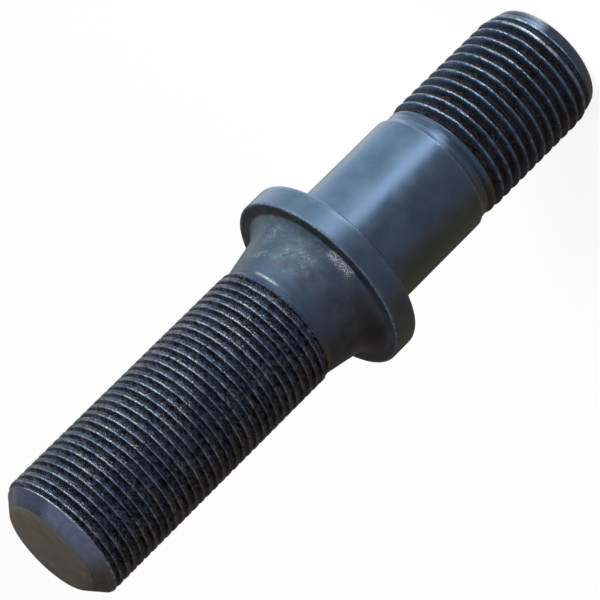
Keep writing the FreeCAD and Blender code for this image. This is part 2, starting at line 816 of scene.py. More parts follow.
@dataclass(frozen=True)
class BluedSteel(Finish):
    """Satin blue-black oxide on turned steel: the shank, the collar and the necks."""

    name: str = "blued_satin_steel"
    dark: Colour = (0.103, 0.162, 0.250)
    light: Colour = (0.127, 0.195, 0.295)
    bare_and_glint: Colour = (0.42, 0.50, 0.58)
    cloud_scale: float = 260.0
    clouds: Fade = (0.35, 0.68)
    fine_scale: float = 2600.0
    shades: Fade = (0.60, 0.80)
    shade_level: float = 0.75
    rubs: Fade = (0.45, 0.65)
    faint_rub: float = 0.15
    specks: Fade = (0.72, 0.78)
    speck_share: float = 0.5
    roughness: Fade = (0.27, 0.37)
    line_stretch: tuple[float, float, float] = (60.0, 60.0, 9000.0)
    line_bump: float = 0.22
    bump_depth: float = 0.02
    grain: float = 1.2

    def look(self, sheet: Sheet, place: Value) -> Look:
        """Mottled blue with faint turning lines, rubbed bright along the worn edges.

        Args:
            sheet: the material's tree.
            place: the point on the stud, in metres.

        Returns:
            Its colour, roughness and normal.
        """
        cloud = sheet.noise(place, self.cloud_scale, 5.0)
        fine = sheet.noise(place, self.fine_scale, 3.0)
        colour = sheet.mix(sheet.span(cloud, self.clouds), self.dark, self.light)
        colour = sheet.scaled(colour, sheet.span(fine, self.shades, 1.0, self.shade_level))
        rubbed = sheet.mark(Mark.WORN) * sheet.span(fine, self.rubs, self.faint_rub)
        colour = sheet.mix(rubbed, colour, self.bare_and_glint)
        colour = sheet.mix(sheet.span(fine, self.specks, 0.0, self.speck_share), colour, self.bare_and_glint)
        rough = sheet.span(cloud, WIDE, *self.roughness)
        lines = sheet.noise(sheet.stretched(place, self.line_stretch), 1.0)
        normal = sheet.bump(self.line_bump, self.bump_depth * MM, lines + fine * self.grain)
        return Look(colour, rough, normal)


@dataclass(frozen=True)
class ThreadSpot:
    """What the finish of a thread reads at a point: marks, noises, and the sides it lies on."""

    groove: Value
    facing: Value
    plain: Value
    coarse: Value
    grit: Value
    spark: Value
    patchy: Value
    lit: Value
    clean: Value


@dataclass(frozen=True)
class ThreadSteel(Finish):
    """Rolled thread: thin broken crests, blue flanks, and pitted brown-black roots."""

    metallic: float = 0.9
    coarse_scale: float = 1100.0
    grit_scale: float = 3000.0
    spark_scale: float = 6500.0
    patch_scale: float = 320.0

    # The lamp's side, by whose share the unlit_ factors paint light and shade; the side the painted warm
    # shade leaves out; and the side whose plain steel gets painted shade
    lit: Side = Side(22.0, (0.74, 1.0))
    # The side that the painted warm shade leaves out
    clean: Side = Side(20.0, (0.26, 0.77))
    # The side whose plain steel gets painted shade
    plain_shade_side: Side = Side(52.0, (0.86, 0.98))
    plain_shade_level: float = 1.0
    # Brownish painted warm shade, multiplied into the colour off that side
    painted_warm_shade: Colour = (1.0, 0.80, 0.66)

    # Roots and flanks; the flanks that face the hub end take the roots' colour as painted shade
    root: Colour = (0.031, 0.031, 0.036)
    root_fade: Fade = (0.55, 0.88)
    ragged: float = 0.12
    off_land: Fade = (0.02, 0.12)
    unlit_root: float = 1.7
    flank: Colour = (0.043, 0.074, 0.136)
    unlit_flank: float = 1.15
    # Flanks facing the hub end, and how much of the roots' colour they take as painted shade
    far_side: Fade = (-0.1, -0.6)
    hub_flank_shade: float = 0.8
    flank_pits: float = 0.15
    mottle: float = 0.25
    fine_mottle: float = 0.25

    # Pits and rust
    pit: Colour = (0.010, 0.010, 0.012)
    grit_pits: Fade = (0.50, 0.40)
    coarse_pits: Fade = (0.44, 0.36)
    pit_patches: Fade = (0.4, 0.6)
    pit_floor: float = 0.4
    pit_depth: Fade = (0.0, 0.6)
    rust: Colour = (0.19, 0.16, 0.14)
    rust_grit: Fade = (0.56, 0.66)
    rust_share: float = 0.7
    rust_patches: Fade = (0.45, 0.62)
    rust_floor: float = 0.1

    # The bright line above each crest, and along the ridge between the end's cone and its first groove, is
    # partly wear and partly a painted highlight
    crest: Colour = (0.132, 0.190, 0.264)
    line_height: float = 0.04
    line_fade: Fade = (0.16, 0.38)
    line_groove: Fade = (0.1, 0.25)
    line_breaks: Fade = (0.38, 0.58)
    cone_line: float = 0.35
    faint_crest: float = 0.2
    unlit_crest: float = 0.55
    ridge_fade: Fade = (0.3, 1.0)
    ridge_breaks: Fade = (0.35, 0.6)
    ridge_floor: float = 0.4

    # Points rubbed to the metal along the lines, and flecks of them elsewhere: partly wear and partly painted
    # glints, dimmer away from the lamp
    bare_and_glint: Colour = (0.72, 0.82, 0.92)
    bare_sparks: Fade = (0.48, 0.60)
    bare_patches: Fade = (0.38, 0.58)
    bare_floor: float = 0.3
    ridge_sparks: Fade = (0.40, 0.60)
    ridge_bare: Fade = (0.2, 0.9)
    unlit_bare: float = 0.5
    fleck_sparks: Fade = (0.65, 0.72)
    unlit_flecks: float = 0.3

    # Plain steel of the neck and of the end's cone, from the inner radius outwards
    plain: Colour = (0.100, 0.121, 0.180)
    inner: Colour = (0.110, 0.118, 0.145)
    inner_fade: Fade = (8.3, 9.3)
    neck: Colour = (0.076, 0.118, 0.186)
    neck_fade: Fade = (18.0, 22.0)
    # Brown-grey painted warm shade, which the plain steel takes on one side
    brown_tone: Colour = (0.105, 0.102, 0.094)
    smooth_groove: Fade = (0.0, 0.3)
    flank_haze: float = 0.2

    # Roughness from crest to flank, with what the roots and the plain steel add, and the bump
    roughness: Fade = (0.26, 0.38)
    root_dull: float = 0.2
    plain_dull: float = 0.0
    bump_strength: Fade = (0.2, 0.9)
    bump_depth: float = 0.08
    grain: float = 0.5

    def look(self, sheet: Sheet, place: Value) -> Look:
        """Colours the section from crest to root, with pits, rust, rubbed specks and painted glints, and
        painted highlights and shade.

        Args:
            sheet: the material's tree.
            place: the point on the stud, in metres.

        Returns:
            Its colour, roughness and normal.
        """
        spot = self.spot(sheet, place)
        deep = self.deep(sheet, spot)
        ridge = self.ridge(sheet, spot)
        line = sheet.math("MAXIMUM", self.crest_line(sheet, spot), ridge)
        smooth = spot.plain * sheet.span(spot.groove, self.smooth_groove, 1.0, 0.0) * (1.0 - ridge)
        drawn = line * sheet.span(spot.coarse, self.line_breaks, self.faint_crest)
        drawn = drawn * sheet.span(spot.lit, FULL, self.unlit_crest)
        colour = sheet.mix(drawn, self.metal(sheet, spot, deep), self.crest)
        colour = sheet.mix(self.pits(sheet, spot, deep), colour, self.pit)
        colour = sheet.mix(smooth, colour, self.plain_steel(sheet, spot, place))
        colour = sheet.mix(self.bare_and_glint_share(sheet, spot, line, ridge, smooth), colour, self.bare_and_glint)
        rough = sheet.span(spot.groove, self.smooth_groove, *self.roughness) + deep * self.root_dull
        strength = sheet.span(sheet.math("MAXIMUM", deep, self.flank_pits), FULL, *self.bump_strength)
        normal = sheet.bump(strength, self.bump_depth * MM, spot.grit + spot.spark * self.grain)
        return Look(colour, rough + smooth * self.plain_dull, normal)

    def spot(self, sheet: Sheet, place: Value) -> ThreadSpot:
        """Reads what the other methods need at a point.

        Args:
            sheet: the material's tree.
            place: the point on the stud, in metres.

        Returns:
            The marks, noises and sides.
        """
        return ThreadSpot(
            groove=sheet.mark(Mark.GROOVE),
            facing=sheet.mark(Mark.FACING),
            plain=sheet.mark(Mark.PLAIN),
            coarse=sheet.noise(place, self.coarse_scale, 4.0),
            grit=sheet.noise(place, self.grit_scale, 3.0),
            spark=sheet.noise(place, self.spark_scale, 2.0),
            patchy=sheet.noise(place, self.patch_scale, 3.0),
            lit=self.lit.share(sheet, place),
            clean=self.clean.share(sheet, place),
        )

    def deep(self, sheet: Sheet, spot: ThreadSpot) -> Value:
        """Finds the roots, and the flanks that face the hub end, which take the roots' colour as painted
        shade.

        Args:
            sheet: the material's tree.
            spot: what is read at the point.

        Returns:
            0 on a crest or a bright flank, 1 in a root.
        """
        ragged = spot.groove + sheet.span(spot.coarse, WIDE, -self.ragged, self.ragged)
        away = sheet.span(spot.facing, self.far_side, 0.0, self.hub_flank_shade)
        deep = sheet.math("MAXIMUM", sheet.span(ragged, self.root_fade), away)
        return deep * sheet.span(spot.groove, self.off_land)

    def metal(self, sheet: Sheet, spot: ThreadSpot, deep: Value) -> Value:
        """Colours the flanks and the roots.

        Args:
            sheet: the material's tree.
            spot: what is read at the point.
            deep: 0 on a flank, 1 in a root.

        Returns:
            The colour, mottled, with painted light and shade by the lamp's side and painted warm shade on one
            side, and rusty in the roots.
        """
        root = sheet.scaled(self.root, sheet.span(spot.lit, FULL, self.unlit_root))
        flank = sheet.scaled(self.flank, sheet.span(spot.lit, FULL, self.unlit_flank))
        flank = sheet.mix(sheet.span(spot.patchy, NARROW, 0.0, self.flank_pits), flank, root)
        colour = sheet.mix(deep, flank, root)
        colour = sheet.scaled(colour, sheet.span(spot.coarse, WIDE, 1.0 - self.mottle, 1.0 + self.mottle))
        fine = sheet.span(spot.grit, NARROW, 1.0 - self.fine_mottle, 1.0 + self.fine_mottle)
        colour = sheet.scaled(colour, fine)
        colour = sheet.mix(1.0 - spot.clean, colour, self.painted_warm_shade, "MULTIPLY")
        rusty = sheet.span(spot.grit, self.rust_grit, 0.0, self.rust_share) * deep
        rusty = rusty * sheet.span(spot.patchy, self.rust_patches, self.rust_floor)
        return sheet.mix(rusty, colour, self.rust)

    def pits(self, sheet: Sheet, spot: ThreadSpot, deep: Value) -> Value:
        """Finds the dark pits, most of them in the roots.

        Args:
            sheet: the material's tree.
            spot: what is read at the point.
            deep: 0 on a flank, 1 in a root.

        Returns:
            The share of pit, from 0 to 1.
        """
        pits = sheet.math(
            "MAXIMUM", sheet.span(spot.grit, self.grit_pits), sheet.span(spot.coarse, self.coarse_pits)
        )
        pits = pits * sheet.span(spot.patchy, self.pit_patches, self.pit_floor)
        return pits * sheet.span(deep, self.pit_depth, self.flank_pits)

    def ridge(self, sheet: Sheet, spot: ThreadSpot) -> Value:
        """Finds the ridge between the end's cone and its first groove, worn and with a painted highlight.

        Args:
            sheet: the material's tree.
            spot: what is read at the point.

        Returns:
            The share of ridge, from 0 to 1.
        """
        apart = abs(sheet.mark(Mark.RIDGE))
        breaks = sheet.span(spot.coarse, self.ridge_breaks, self.ridge_floor)
        return sheet.span(apart, self.ridge_fade, 1.0, 0.0) * breaks

    def crest_line(self, sheet: Sheet, spot: ThreadSpot) -> Value:
        """Finds the line above each crest, partly wear and partly a painted highlight, which wanders a little
        and ends at the cone.

        Args:
            sheet: the material's tree.
            spot: what is read at the point.

        Returns:
            The share of line, from 0 to 1.
        """
        middle = math.sin(math.tau * self.line_height)
        wander = self.line_fade[0]
        off_line = abs(spot.facing - sheet.span(spot.coarse, WIDE, middle - wander, middle + wander))
        on_crest = sheet.span(spot.groove, self.line_groove, 1.0, 0.0)
        line = sheet.span(off_line, self.line_fade, 1.0, 0.0) * on_crest
        return line * sheet.span(spot.plain, (0.0, self.cone_line), 1.0, 0.0)

    def plain_steel(self, sheet: Sheet, spot: ThreadSpot, place: Value) -> Value:
        """Colours the neck and the end's cone, with painted shade on one side and painted warm shade on
        another.

        Args:
            sheet: the material's tree.
            spot: what is read at the point.
            place: the point on the stud, in metres.

        Returns:
            The colour.
        """
        reach = sheet.length(sheet.flat(place))
        skin = sheet.mix(sheet.span(reach, metres(self.inner_fade)), self.inner, self.plain)
        skin = sheet.scaled(skin, sheet.span(self.plain_shade_side.share(sheet, place), FULL, 1.0, self.plain_shade_level))
        skin = sheet.mix(sheet.span(sheet.parts(place)[2], metres(self.neck_fade)), skin, self.neck)
        skin = sheet.mix(spot.clean, self.brown_tone, skin)
        return sheet.mix(sheet.span(spot.coarse, NARROW, 0.0, self.flank_haze), skin, self.flank)

    def bare_and_glint_share(
        self, sheet: Sheet, spot: ThreadSpot, line: Value, ridge: Value, smooth: Value
    ) -> Value:
        """Finds the points rubbed to the metal, and the painted glints among them, dimmer away from the lamp.

        Args:
            sheet: the material's tree.
            spot: what is read at the point.
            line: the share of crest line or ridge.
            ridge: the share of ridge.
            smooth: the share of plain steel.

        Returns:
            The share of rubbed metal and painted glint, from 0 to 1.
        """
        bare_and_glint = sheet.span(spot.spark, self.bare_sparks) * line
        bare_and_glint = bare_and_glint * sheet.span(spot.patchy, self.bare_patches, self.bare_floor)
        bare_ridge = ridge * sheet.span(spot.spark, self.ridge_sparks, *self.ridge_bare)
        bare_and_glint = sheet.math("MAXIMUM", bare_and_glint, bare_ridge)
        bare_and_glint = bare_and_glint * sheet.span(spot.lit, FULL, self.unlit_bare * self.unlit_crest)
        flecks = sheet.span(spot.spark, self.fleck_sparks, 0.0, self.flank_pits) * (1.0 - smooth)
        flecks = flecks * sheet.span(spot.lit, FULL, self.unlit_flecks * self.unlit_crest)
        return sheet.math("MAXIMUM", bare_and_glint, flecks)


@dataclass(frozen=True)
class ForgedSteel(Finish):
    """Flare above the collar: a smooth blue band at its head, and finely mottled oxide below, with painted
    glints, sheen, highlights and shade.
    """

    name: str = "mottled_forged_steel"
    cloud_scale: float = 300.0
    patch_scale: float = 420.0
    patch_stretch: tuple[float, float, float] = (1.0, 1.0, 1.4)
    fine_scale: float = 2600.0
    finest_scale: float = 4200.0
    spark_scale: float = 7000.0
    dark: Colour = (0.080, 0.115, 0.170)
    blue: Colour = (0.110, 0.155, 0.225)

    # Pale specks, partly mottling and partly a painted highlight, most of them on the lamp's side, and brown
    # stains
    pale: Colour = (0.30, 0.37, 0.40)
    pale_side: Side = Side(35.0, (0.80, 0.95))
    pale_share: Fade = (0.12, 0.57)
    pale_patches: Fade = (0.44, 0.62)
    pale_breaks: Fade = (0.42, 0.6)
    pale_floor: float = 0.1
    pale_grain: Fade = (0.40, 0.60)
    pale_grain_floor: float = 0.35
    brown: Colour = (0.085, 0.080, 0.085)
    brown_patches: Fade = (0.46, 0.34)
    brown_share: float = 0.5
    brown_breaks: Fade = (0.6, 0.4)
    brown_floor: float = 0.4

    # Painted glints in a painted blue sheen at the flare's foot
    # The colour of the painted glints and of the painted highlight on the lip
    bare_and_glint: Colour = (0.86, 0.94, 1.0)
    painted_sheen: Colour = (0.21, 0.23, 0.40)
    glint_side: Side = Side(-1.0, (0.96, 0.995))
    glint_heights: Fade = (55.4, 56.9)
    glint_sparks: Fade = (0.48, 0.56)
    glint_spread: float = 0.34
    glint_sheen: float = 0.45
    glint_depth: float = 6.0
    glint_gloss: float = 0.2

    # Painted shade on one side of the foot
    foot_shade: Colour = (0.040, 0.039, 0.043)
    foot_shade_side: Side = Side(-70.0, (0.35, 0.95))
    foot_shade_heights: Fade = (56.3, 59.0)
    foot_shade_share: float = 0.55

    # The turned band, and a painted highlight on its lip by the wheel thread
    band: Colour = (0.095, 0.140, 0.220)
    band_foot: float = 61.65
    band_blur: float = 0.3
    band_stretch: tuple[float, float, float] = (120.0, 120.0, 2600.0)
    lip_side: Side = Side(35.0, (0.965, 0.998))
    lip_heights: Fade = (63.25, 63.55)
    lip_share: float = 0.38
    lip_breaks: Fade = (0.4, 0.6)
    lip_floor: float = 0.4

    roughness: Fade = (0.42, 0.30)
    bump_strength: Fade = (0.4, 0.1)
    bump_depth: float = 0.05

    def look(self, sheet: Sheet, place: Value) -> Look:
        """Fine pale and brown mottling with pits, under the smooth band, with painted glints, sheen,
        highlights and shade.

        Args:
            sheet: the material's tree.
            place: the point on the stud, in metres.

        Returns:
            Its colour, roughness and normal.
        """
        height = sheet.parts(place)[2]
        cloud = sheet.noise(place, self.cloud_scale, 8.0)
        fine = sheet.noise(place, self.fine_scale, 4.0)
        spark = sheet.noise(place, self.spark_scale)
        colour = sheet.mix(sheet.span(cloud, WIDE), self.dark, self.blue)
        colour = self.mottled(sheet, place, fine, colour)
        foot = sheet.span(height, metres(self.glint_heights), 1.0, 0.0)
        crowd = foot * self.glint_side.share(sheet, place)
        glints = sheet.span(spark - (1.0 - crowd) * self.glint_spread, self.glint_sparks)
        colour = sheet.mix(crowd * self.glint_sheen, colour, self.painted_sheen)
        colour = sheet.mix(glints, colour, self.bare_and_glint)
        foot_shaded = sheet.span(height, metres(self.foot_shade_heights), self.foot_shade_share, 0.0)
        colour = sheet.mix(foot_shaded * self.foot_shade_side.share(sheet, place), colour, self.foot_shade)
        blur = self.band_blur
        wavy = height + sheet.span(cloud, WIDE, -blur * MM, blur * MM)
        band = sheet.span(wavy, metres((self.band_foot - blur, self.band_foot + blur)))
        rings = sheet.noise(sheet.stretched(place, self.band_stretch), 1.0)
        colour = sheet.mix(band, colour, sheet.mix(sheet.span(rings, WIDE), self.dark, self.band))
        # Painted highlight on the lip, on the lamp's side
        lip = sheet.span(height, metres(self.lip_heights), 0.0, self.lip_share)
        lip = lip * self.lip_side.share(sheet, place) * sheet.span(fine, self.lip_breaks, self.lip_floor)
        colour = sheet.mix(lip, colour, self.bare_and_glint)
        rough = sheet.span(fine, NARROW, *self.roughness) - crowd * self.glint_gloss
        strength = sheet.span(band, FULL, *self.bump_strength)
        normal = sheet.bump(strength, self.bump_depth * MM, fine + crowd * spark * self.glint_depth)
        return Look(colour, rough, normal)

    def mottled(self, sheet: Sheet, place: Value, fine: Value, colour: Value) -> Value:
        """Adds the pale specks, partly a painted highlight, and the brown stains.

        Args:
            sheet: the material's tree.
            place: the point on the stud, in metres.
            fine: the fine noise.
            colour: the colour under them.

        Returns:
            The mottled colour.
        """
        patch = sheet.noise(sheet.stretched(place, self.patch_stretch), self.patch_scale, 8.0)
        finest = sheet.noise(place, self.finest_scale, 3.0)
        specks = sheet.span(patch, self.pale_patches) * sheet.span(fine, self.pale_breaks, self.pale_floor)
        specks = specks * sheet.span(finest, self.pale_grain, self.pale_grain_floor)
        amount = sheet.span(self.pale_side.share(sheet, place), FULL, *self.pale_share, even=True)
        colour = sheet.mix(specks * amount, colour, self.pale)
        brown_tone = sheet.span(patch, self.brown_patches, 0.0, self.brown_share)
        brown_tone = brown_tone * sheet.span(fine, self.brown_breaks, self.brown_floor)
        return sheet.mix(brown_tone, colour, self.brown)


@dataclass(frozen=True)
class SawnSteel(Finish):
    """Cropped end faces: brown-grey oxide with fine parallel lines, painted lighter towards +X, bluer past
    the round edge but brown on one side as painted warm shade.
    """

    name: str = "sawn_end_steel"
    metallic: float = 0.75
    dark: Colour = (0.096, 0.081, 0.064)
    light: Colour = (0.164, 0.138, 0.108)
    # Painted light: the face grows lighter towards +X
    painted_light_sides: Fade = (-8.0, 8.0)
    painted_light_share: float = 0.6
    cloud_scale: float = 500.0
    cloud_share: float = 0.4
    line_stretch: tuple[float, float, float] = (120.0, 1700.0, 1.0)
    line_shades: Fade = (0.86, 1.06)
    grit_scale: float = 2400.0
    speck: Colour = (0.40, 0.40, 0.40)
    specks: Fade = (0.72, 0.78)
    speck_share: float = 0.6
    edge: Colour = (0.090, 0.096, 0.115)
    edge_fade: Fade = (7.5, 8.6)
    # The side where the rim turns blue; on the rest it keeps the brown as painted warm shade
    clean: Side = Side(20.0, (0.26, 0.77))
    roughness: Fade = (0.5, 0.38)
    line_bump: float = 0.2
    bump_depth: float = 0.03

    def look(self, sheet: Sheet, place: Value) -> Look:
        """Brown-grey lines with painted light towards +X, that turn blue towards the rim outside the painted
        warm shade, with a few light specks.

        Args:
            sheet: the material's tree.
            place: the point on the stud, in metres.

        Returns:
            Its colour, roughness and normal.
        """
        lines = sheet.noise(sheet.stretched(place, self.line_stretch), 1.0)
        cloud = sheet.noise(place, self.cloud_scale, 5.0)
        grit = sheet.noise(place, self.grit_scale)
        light = sheet.span(sheet.parts(place)[0], metres(self.painted_light_sides), 0.0, self.painted_light_share)
        light = light + sheet.span(cloud, WIDE, 0.0, self.cloud_share)
        colour = sheet.mix(light, self.dark, self.light)
        colour = sheet.scaled(colour, sheet.span(lines, NARROW, *self.line_shades))
        colour = sheet.mix(sheet.span(grit, self.specks, 0.0, self.speck_share), colour, self.speck)
        rim = sheet.span(sheet.length(sheet.flat(place)), metres(self.edge_fade))
        rim = rim * self.clean.share(sheet, place)
        colour = sheet.mix(rim, colour, self.edge)
        rough = sheet.span(rim, FULL, *self.roughness)
        return Look(colour, rough, sheet.bump(self.line_bump, self.bump_depth * MM, lines))


@dataclass
class WheelStud:
    """The whole stud, as one piece that stands for the turned solid. Sizes are in millimetres.

    Its length and the collar's radius come from the frame. A guard is a ring close to an edge, which
    keeps the edge's shading narrow, and wear is how much an edge is rubbed bright.
    """

    columns: int = 128
    length: float = round(CAD_BOX[1][2] / MM, 3)
    hub_end: TurnedEnd = TurnedEnd(8.7, 1.35, 75.0)
    wheel_end: TurnedEnd = TurnedEnd(7.2, 1.8, 43.0)

    hub_crest_radius: float = 10.85
    hub_neck_radius: float = 10.5
    hub_groove_end: float = 27.6
    hub_neck_head: float = 28.15
    neck_corner: tuple[float, float] = (0.07, 0.1)
    shoulder_height: float = 0.8
    shoulder_corner: tuple[float, float, float] = (0.07, 0.12, 0.14)
    shoulder_angle: float = 58.0
    shoulder_guards: tuple[float, float] = (0.25, 0.6)
    shoulder_wear: float = 0.5

    shank_radius: float = 11.0
    shank_length: float = 21.2
    seat_relief: float = 0.4
    collar_radius: float = round(CAD_BOX[1][0] / MM, 3)
    collar_thickness: float = 4.7
    collar_round: float = 1.0
    collar_round_wear: float = 0.12
    collar_edge: float = 0.28
    collar_edge_wear: tuple[float, float] = (0.1, 0.5)
    collar_land: float = 2.1
    guard: float = 0.3
    land_guards: tuple[float, float] = (0.25, 0.15)

    flare_height: float = 3.35
    flare_angle: float = 147.0
    cone_foot_radius: float = 11.689
    cone_height: float = 5.6
    wheel_neck_radius: float = 10.6
    wheel_crest_radius: float = 10.9

    @property
    def shank_foot(self) -> float:
        """Height of the shank's hub end."""
        return self.hub_neck_head + self.shoulder_height

    @property
    def seat(self) -> float:
        """Height of the collar's hub-side face."""
        return self.shank_foot + self.shank_length

    @property
    def collar_top(self) -> float:
        """Height of the collar's wheel-side face."""
        return self.seat + self.collar_thickness

    @property
    def cone_foot(self) -> float:
        """Height at which the flare runs into the cone."""
        return self.collar_top + self.flare_height

    @property
    def cone_head(self) -> float:
        """Height at which the cone ends and the wheel thread's neck starts."""
        return self.cone_foot + self.cone_height

    def threads(self) -> tuple[RolledThread, RolledThread]:
        """Sizes the two threads.

        Returns:
            The hub thread and the wheel thread.
        """
        hub = RolledThread(
            name="hub_thread", zone=Zone.HUB_THREAD, pitch=2.0, crest_radius=self.hub_crest_radius,
            depth=1.18, foot=self.hub_end.edge_depth(), head=self.hub_groove_end, crest_height=0.48,
            end=self.hub_end, end_fade=1.0, neck_at_head=True, neck_radius=self.hub_neck_radius,
            neck_length=1.4, taper_end=2.6, groove_start=0.1, groove_end=2.8,
            crest_share=0.07, root_share=0.12, roundness=0.6, ridge_width=0.32, columns=self.columns,
        )
        wheel = RolledThread(
            name="wheel_thread", zone=Zone.WHEEL_THREAD, pitch=1.5, crest_radius=self.wheel_crest_radius,
            depth=0.9, foot=self.cone_head, head=self.length - self.wheel_end.edge_depth(), crest_height=0.36,
            end=self.wheel_end, end_fade=0.5, neck_at_head=False, neck_radius=self.wheel_neck_radius,
            neck_length=0.5, taper_end=1.5, groove_start=0.1, groove_end=2.2,
            crest_share=0.20, root_share=0.10, roundness=0.7, columns=self.columns,
        )
        return hub, wheel

    def hub_face(self) -> Profile:
        """The hub end's flat face and its round edge."""
        profile = Profile(0.0, 0.0, self.columns).line(self.hub_end.face_radius, 0.0, Zone.SAWN, 5)
        return profile.arc(self.hub_end.edge_radius(), self.hub_end.edge_depth(), 0.0, Zone.SAWN, 6)

    def wheel_face(self) -> Profile:
        """Draws the wheel end's round edge and its flat face.

        Returns:
            Their section.
        """
        end = self.wheel_end
        profile = Profile(end.edge_radius(), self.length - end.edge_depth(), self.columns)
        profile.arc(end.face_radius, self.length, 180.0 - end.angle, Zone.SAWN, 6)
        return profile.line(0.0, self.length, Zone.SAWN, 5)

    def middle(self) -> Profile:
        """Draws the hub neck, the shank, the collar, the flare and the cone, up to the wheel thread.

        Returns:
            Their section.
        """
        shank, rim, top, guard = self.shank_radius, self.collar_radius, self.collar_top, self.guard
        aside, up = self.neck_corner
        inward, below, above = self.shoulder_corner
        profile = Profile(self.hub_neck_radius, self.hub_groove_end, self.columns)
        profile.line(self.hub_neck_radius, self.hub_neck_head - up)
        profile.line(self.hub_neck_radius + aside, self.hub_neck_head + up)
        profile.line(shank - inward, self.shank_foot - below, steps=2)
        profile.arc(shank, self.shank_foot + above, self.shoulder_angle, steps=3, worn=self.shoulder_wear)
        for rise in self.shoulder_guards:
            profile.line(shank, self.shank_foot + rise)
        profile.line(shank, self.seat - self.seat_relief - guard, steps=10)
        profile.line(shank, self.seat - self.seat_relief)
        profile.line(shank + self.seat_relief, self.seat)
        profile.line(rim - self.collar_round - guard, self.seat, steps=4)
        profile.line(rim - self.collar_round, self.seat)
        profile.arc(rim, self.seat + self.collar_round, 0.0, steps=6, worn=self.collar_round_wear)
        profile.line(rim, self.seat + self.collar_round + guard)
        profile.line(rim, top - self.collar_edge - guard, steps=4)
        profile.line(rim, top - self.collar_edge, worn=self.collar_edge_wear[0])
        profile.arc(rim - self.collar_edge, top, 90.0, steps=4, worn=self.collar_edge_wear[1])
        land = rim - self.collar_land
        profile.line(rim - self.collar_edge - self.land_guards[0], top, Zone.SEAT)
        profile.line(land + self.land_guards[1], top, Zone.SEAT, 4)
        profile.line(land, top, Zone.SEAT)
        profile.arc(self.cone_foot_radius, self.cone_foot, self.flare_angle, Zone.FORGED, 12)
        return profile.line(self.wheel_neck_radius, self.cone_head, Zone.FORGED, 6)

    def finishes(self) -> list[bpy.types.Material]:
        """Builds the finishes.

        Returns:
            Their materials, in the order of the zones.
        """
        wheel_thread = ThreadSteel(
            name="rolled_wheel_thread_steel",
            flank=(0.021, 0.035, 0.076), unlit_flank=0.9, flank_pits=0.9, mottle=0.7, fine_mottle=0.55,
            root=(0.045, 0.054, 0.080), root_fade=(0.40, 0.75), rust_share=0.25,
            crest=(0.138, 0.196, 0.284), line_height=0.155,
            plain=(0.155, 0.184, 0.300), inner=(0.140, 0.154, 0.215), plain_dull=0.18, plain_shade_level=0.45,
            neck=(0.070, 0.108, 0.170), neck_fade=(72.0, 68.0),
        )
        hub_thread = ThreadSteel(name="rolled_hub_thread_steel", plain=(0.085, 0.125, 0.195))
        # Near-black satin steel for the collar's wheel-side land: painted shade in the corner by the flare
        seat = BluedSteel(
            name="painted_shade_seat_steel", metallic=0.75, dark=(0.026, 0.031, 0.041), light=(0.043, 0.052, 0.068)
        )
        finishes = (BluedSteel(), wheel_thread, hub_thread, ForgedSteel(), SawnSteel(), seat)
        return [finish.material() for finish in finishes]

    def build(self) -> bpy.types.Object:
        """Joins the threads and the turned stretches into one closed mesh and dresses it.

        Returns:
            The piece.
        """
        finishes = self.finishes()
        skins = [thread.skin(finishes[thread.zone.value]) for thread in self.threads()]
        skins += [profile.skin() for profile in (self.hub_face(), self.middle(), self.wheel_face())]
        faces, zones, start = [], [], 0
        for skin in skins:
            faces += [tuple(start + corner for corner in face) for face in skin.faces]
            zones += skin.zones
            start += len(skin.points)
        mesh = bpy.data.meshes.new("stud")
        mesh.from_pydata(np.concatenate([skin.points for skin in skins]).tolist(), [], faces)
        for mark in Mark:
            blank = 1.0 if mark is Mark.RIDGE else 0.0
            values = [skin.marks.get(mark, np.full(len(skin.points), blank)) for skin in skins]
            kept = mesh.attributes.new(mark.value, "FLOAT", "POINT")
            kept.data.foreach_set("value", np.concatenate(values))
        mesh.polygons.foreach_set("material_index", zones)
        for finish in finishes:
            mesh.materials.append(finish)
        self.close(mesh)
        return in_scene("stud", mesh)

    def close(self, mesh: bpy.types.Mesh) -> None:
        """Merges the rings where stretches meet, and turns every face outwards.

        Args:
            mesh: the joined mesh.
        """
        work = bmesh.new()
        work.from_mesh(mesh)
        bmesh.ops.remove_doubles(work, verts=work.verts, dist=MERGE_GAP)
        bmesh.ops.dissolve_degenerate(work, edges=work.edges, dist=0.5 * MERGE_GAP)
        bmesh.ops.recalc_face_normals(work, faces=work.faces)
        open_edges = sum(1 for edge in work.edges if not edge.is_manifold)
        triangles = sum(len(face.verts) - 2 for face in work.faces)
        for face in work.faces:
            face.smooth = True
        work.to_mesh(mesh)
        work.free()
        LOG.info("stud: %d triangles, %d open edges", triangles, open_edges)


# Light of the tent's cloth, low down and higher up, by its turn in degrees from the camera's side to the
# right, seen from above
Cloth = tuple[tuple[float, Colour], ...]
LOW_CLOTH: Cloth = (
    (-180.0, (0.10, 0.09, 0.08)),
    (-150.0, (0.12, 0.10, 0.065)),
    (-130.0, (0.20, 0.135, 0.086)),
    (-90.0, (0.22, 0.15, 0.09)),
    (-70.0, (0.22, 0.17, 0.12)),
    (-50.0, (0.26, 0.25, 0.26)),
    (-10.0, (0.27, 0.27, 0.28)),
    (18.0, (0.32, 0.32, 0.33)),
    (30.0, (3.4, 3.4, 3.4)),
    (50.0, (1.25, 1.25, 1.25)),
    (70.0, (0.95, 0.98, 1.0)),
    (90.0, (1.05, 1.08, 1.12)),
    (110.0, (1.15, 1.2, 1.25)),
    (130.0, (1.45, 1.5, 1.6)),
    (148.0, (1.0, 1.0, 0.95)),
    (158.0, (0.3, 0.3, 0.28)),
    (180.0, (0.1, 0.1, 0.1)),
)
